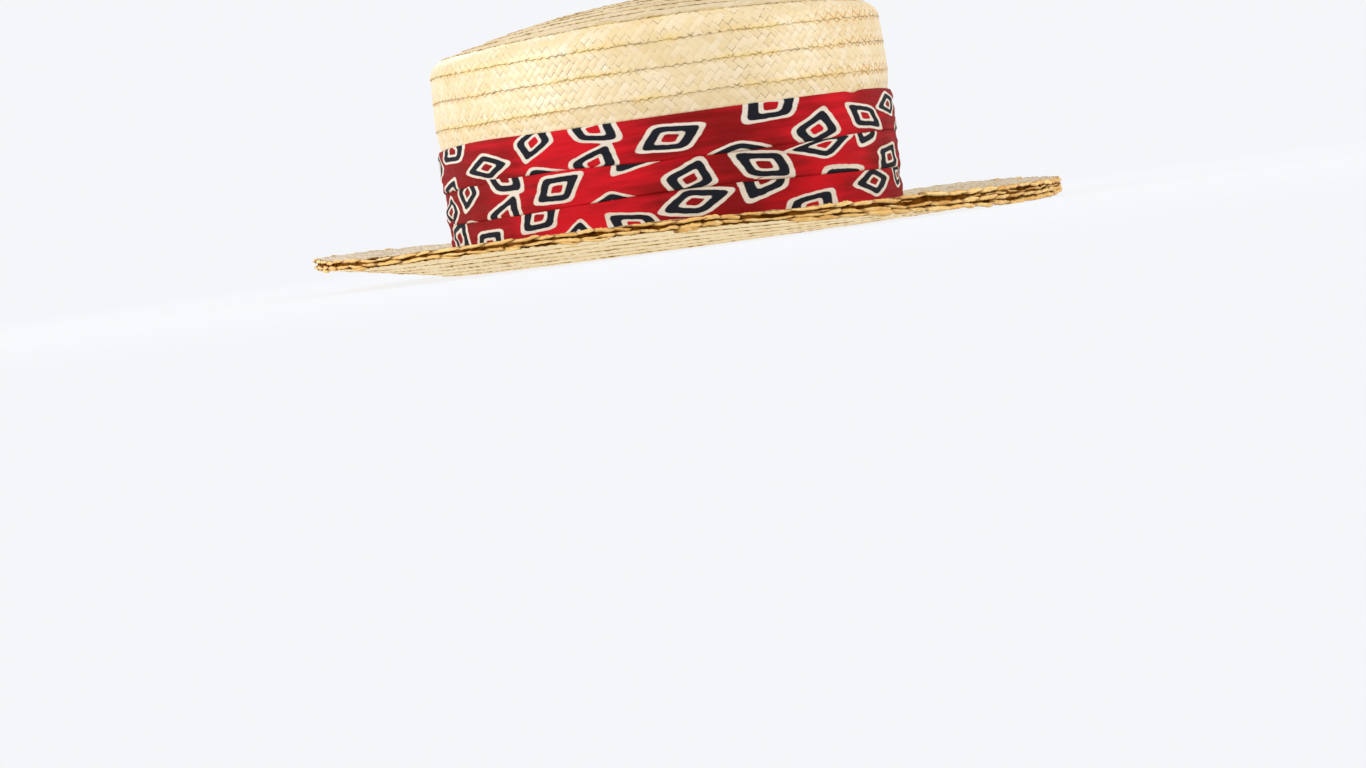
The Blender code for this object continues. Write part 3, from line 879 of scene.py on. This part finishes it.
def tier_points(turn, around, tier, low, high, depths):
    """One tier of the band from its foot to its head, with the hidden cloth that joins it to the others."""
    share = np.linspace(0.0, 1.0, TIER_ROWS)[:, None]
    z = low * (1 - share) + high[1] * share
    around = np.broadcast_to(around, z.shape)
    height = (z - low) / (high[0] - low)
    relief = depths[0] * (1 - height) + depths[1] * height
    for size, count, tall, shift, seed in CREASES:
        relief = relief + size * noise(around * count, z / tall + tier * shift, seed + tier, count)
    # Pleats bunch at the hat's outline. An upper tier's foot and the top tier's head turn in
    bunched = 0.8 * np.exp(-((np.abs(past_view(turn)) - 88.0) / 22.0) ** 2)
    relief = relief + bunched * np.abs(noise(around * 40, z / 0.0045 + tier * 7, 95 + tier, 40))
    if tier > 1:
        relief = relief - 0.35 * np.exp((low - z) / 0.0006)
    if tier == 3:
        relief = relief - 0.45 * np.exp((z - high[0]) / 0.0005)
    out = CLEARANCE + BAND_CLOTH + relief * FOLD_DEPTH
    rings = [crown_points(turn, out, z)]
    if tier > 1:
        rings = [crown_points(turn, out[:1] - 0.95 * FOLD_DEPTH, z[:1] + 0.0022),
                 crown_points(turn, out[:1] - 0.55 * FOLD_DEPTH, z[:1] + 0.00035)] + rings
    if tier == 3:
        rings += [crown_points(turn, CLEARANCE + 0.0008, z[-1:] - drop) for drop in (0.0004, 0.0040)]
    return np.concatenate(rings)


def make_band(material):
    turn = columns(560, 330)
    closed_turn = np.append(turn, turn[0] + 2 * math.pi)
    cloth = Piece("band_cloth")
    x, y = oval(turn, BAND_CLOTH + FOLD_DEPTH)
    length = around_length(np.stack([x, y, np.zeros(len(x))], 1))
    total = length[-1]
    bearing = np.unwrap(np.radians(bearing_of(closed_turn)))
    s = length - np.interp(0.0, bearing - math.radians(VIEW_BEARING), length)
    motifs = list(MOTIFS) + far_motifs(total)
    lower, upper, top = (PLEAT_WAVER * round_the_hat(WAVER, column, turn) for column in (1, 2, 3))
    # The top edge has one small dent
    top = top - 0.0009 * np.exp(-((s[:-1] - 86.4) / 3.6) ** 2)
    foot = np.full(len(turn), CROWN_FOOT)
    lower = lower + CROWN_FOOT + LOWER_FOLD * BAND_HEIGHT
    upper = upper + CROWN_FOOT + UPPER_FOLD * BAND_HEIGHT
    under = 2.0 * MM
    for tier, low, high, depths in (
            # tier, foot, head as seen and with the cloth that runs on under the next tier, and how far the
            # two stand out / FOLD_DEPTH
            (1, foot, (lower, lower + under), (0.55, 0.35)),
            (2, lower, (upper, upper + under), (0.80, 0.55)),
            (3, upper, (BAND_TOP + top, BAND_TOP + top), (1.10, 1.05))):
        points = tier_points(turn, length[:-1] / total, tier, low, high, depths)
        s_grid = np.broadcast_to(s, (len(points), len(s)))
        z_mm = np.append(points[..., 2], points[:, :1, 2], 1) / MM
        wobble_s = 0.6 * noise(s_grid / total * 60, z_mm / 7.0, 90, 60)
        wobble_z = 0.3 * noise(s_grid / total * 50, z_mm / 6.0, 91, 50)
        value = print_share(s_grid + wobble_s, z_mm + wobble_z, tier, motifs, total) / MOTIF_SIZE
        # Painted light and shade on the red, from the table of how light it is round the hat
        tone = np.zeros(s_grid.shape + (3,))
        tone[..., 0] = round_the_hat(CLOTH_LIGHT, 1, closed_turn)
        cloth.add(points, {"print": np.stack([value, s_grid, z_mm], -1), "tone": tone}, False)
    return cloth.finish(material, "band_cotton", "hat_band")


# Surroundings
def make_floor():
    """A pale floor that shows little more than the hat's faint shadow, and fades out round it."""
    mesh = bpy.data.meshes.new("floor")
    half = 2.4
    corners = [(-half, -half, 0), (half, -half, 0), (half, half, 0), (-half, half, 0)]
    mesh.from_pydata(corners, [], [(0, 1, 2, 3)])
    g = Graph("floor")
    x, y, _ = g.split(g.place())
    radius = g.math("SQRT", g.plus(g.times(x, x), g.times(y, y)))
    fade = g.step(radius, 0.15, 0.9, 0.87, 1.0)
    clear, blend = g.node("BsdfTransparent"), g.node("MixShader")
    g.surface((0.90, 0.90, 0.91, 1.0), 0.9, 0.0)
    g.link(fade, blend.inputs[0])
    g.link(g.shader.outputs[0], blend.inputs[1])
    g.link(clear.outputs[0], blend.inputs[2])
    g.link(blend.outputs[0], g.tree.nodes["Material Output"].inputs["Surface"])
    mesh.materials.append(g.material)
    floor = bpy.data.objects.new("floor", mesh)
    bpy.context.scene.collection.objects.link(floor)


def from_axes(right, up, back, place):
    """The matrix of a thing whose own axes are right, up and back."""
    return Matrix([[right[k], up[k], back[k], place[k]] for k in range(3)] + [[0, 0, 0, 1]])


def make_light():
    world = bpy.data.worlds.new("studio")
    bpy.context.scene.world = world
    world.use_nodes = True
    world.node_tree.nodes["Background"].inputs["Color"].default_value = linear(245, 246, 249)

    def lamp(name, bearing, away, height, aim, size, power, colour):
        data = bpy.data.lights.new(name, "AREA")
        data.shape, data.size, data.energy, data.color = "DISK", size, power, colour
        thing = bpy.data.objects.new(name, data)
        bpy.context.scene.collection.objects.link(thing)
        turn = math.radians(bearing)
        place = np.array([away * math.sin(turn), -away * math.cos(turn), height])
        way = np.array([0.0, 0.0, aim]) - place
        way = way / np.linalg.norm(way)
        side = np.cross(way, (0.0, 0.0, 1.0))
        side = side / np.linalg.norm(side)
        up = np.cross(side, way)
        thing.matrix_world = from_axes(side, up, -way, place)

    lamp("left", -120.0, 1.5, 0.50, aim=0.05, size=0.8, power=13.0, colour=(1.0, 1.0, 1.0))
    lamp("right", 15.0, 1.5, 0.60, aim=0.05, size=0.8, power=8.0, colour=(1.0, 0.985, 0.97))
    lamp("back", 150.0, 1.4, 0.90, aim=0.06, size=0.7, power=5.0, colour=(1.0, 0.98, 0.96))


def make_camera():
    """The camera fitted to the outlines of the hat in the picture."""
    distance, azimuth, height = 1.746, math.radians(VIEW_BEARING), 0.0219
    yaw, pitch, roll = math.radians(-0.212), math.radians(-2.595), math.radians(-7.784)
    place = np.array([CROWN_CENTRE[0] + distance * math.sin(azimuth),
                      CROWN_CENTRE[1] - distance * math.cos(azimuth), height])
    up = np.array([0.0, 0.0, 1.0])
    ahead = -np.array([math.sin(azimuth), -math.cos(azimuth), 0.0])
    ahead = ahead * math.cos(yaw) + np.cross(ahead, up) * math.sin(yaw)
    right = np.cross(ahead, up)
    right = right / np.linalg.norm(right)
    look = ahead * math.cos(pitch) + up * math.sin(pitch)
    over = np.cross(right, look)
    across = right * math.cos(roll) + over * math.sin(roll)
    upward = np.cross(across, look)
    data = bpy.data.cameras.new("camera")
    data.sensor_fit, data.sensor_width, data.lens = "HORIZONTAL", 36.0, 110.28
    data.clip_start, data.clip_end = 0.05, 30.0
    camera = bpy.data.objects.new("camera", data)
    bpy.context.scene.collection.objects.link(camera)
    camera.matrix_world = from_axes(across, upward, -look, place)
    bpy.context.scene.camera = camera


def make_straws():
    """The straw of the crown's side, the crown's tip and inside, the brim's top and its underside; the
    underside's straw is a lighter copy, painted light from below.
    """
    side = straw("side_straw", body=(228, 206, 158), pale=(238, 223, 194),
                 deep=(216, 180, 112), line=(98, 76, 18), line_strength=0.95,
                 seam_shadow=(112, 80, 14), seam_shadow_share=0.65, lip_shade=0.25, tick_share=0.7)
    tip = straw("tip_straw", body=(212, 192, 152), pale=(224, 208, 176),
                deep=(184, 156, 108), line=(112, 84, 44), line_strength=0.8,
                seam_shadow=(150, 116, 68), rough=0.7, speckle=1.0, seam_shadow_share=0.40,
                fold_shading=(160, 124, 66), golden=(206, 176, 122), gloss=0.1)
    top = straw("brim_straw", body=(200, 178, 134), pale=(214, 196, 158),
                deep=(170, 138, 90), line=(112, 84, 46), line_strength=0.9,
                seam_shadow=(110, 80, 40), speckle=0.9, fold_share=0.5, fold_shading=(120, 90, 50),
                golden=(196, 160, 104), gloss=0.3, lip_shade=1.0)
    # A lighter copy of the straw: painted light on the brim's underside
    under = straw("lit_under_straw", body=(255, 230, 176), pale=(255, 238, 196),
                  deep=(240, 200, 124), line=(140, 96, 40), line_strength=0.8,
                  seam_shadow=(116, 74, 22), speckle=1.0, edge_shadow=0.35, fold_share=0.4,
                  fold_shading=(186, 138, 66), golden=(246, 212, 140), gloss=0.2, lip_shade=0.2,
                  seam_shadow_share=0.5)
    return side, tip, top, under


def main():
    side_straw, tip_straw, top_straw, lit_under_straw = make_straws()
    make_crown(side_straw, tip_straw)
    make_brim(top_straw, lit_under_straw, edge_straw(), inner_gap())
    band = make_band(cotton())
    make_floor()
    make_light()
    make_camera()
    scene = bpy.context.scene
    scene.view_settings.view_transform = "Standard"
    scene.view_settings.look = "None"


main()
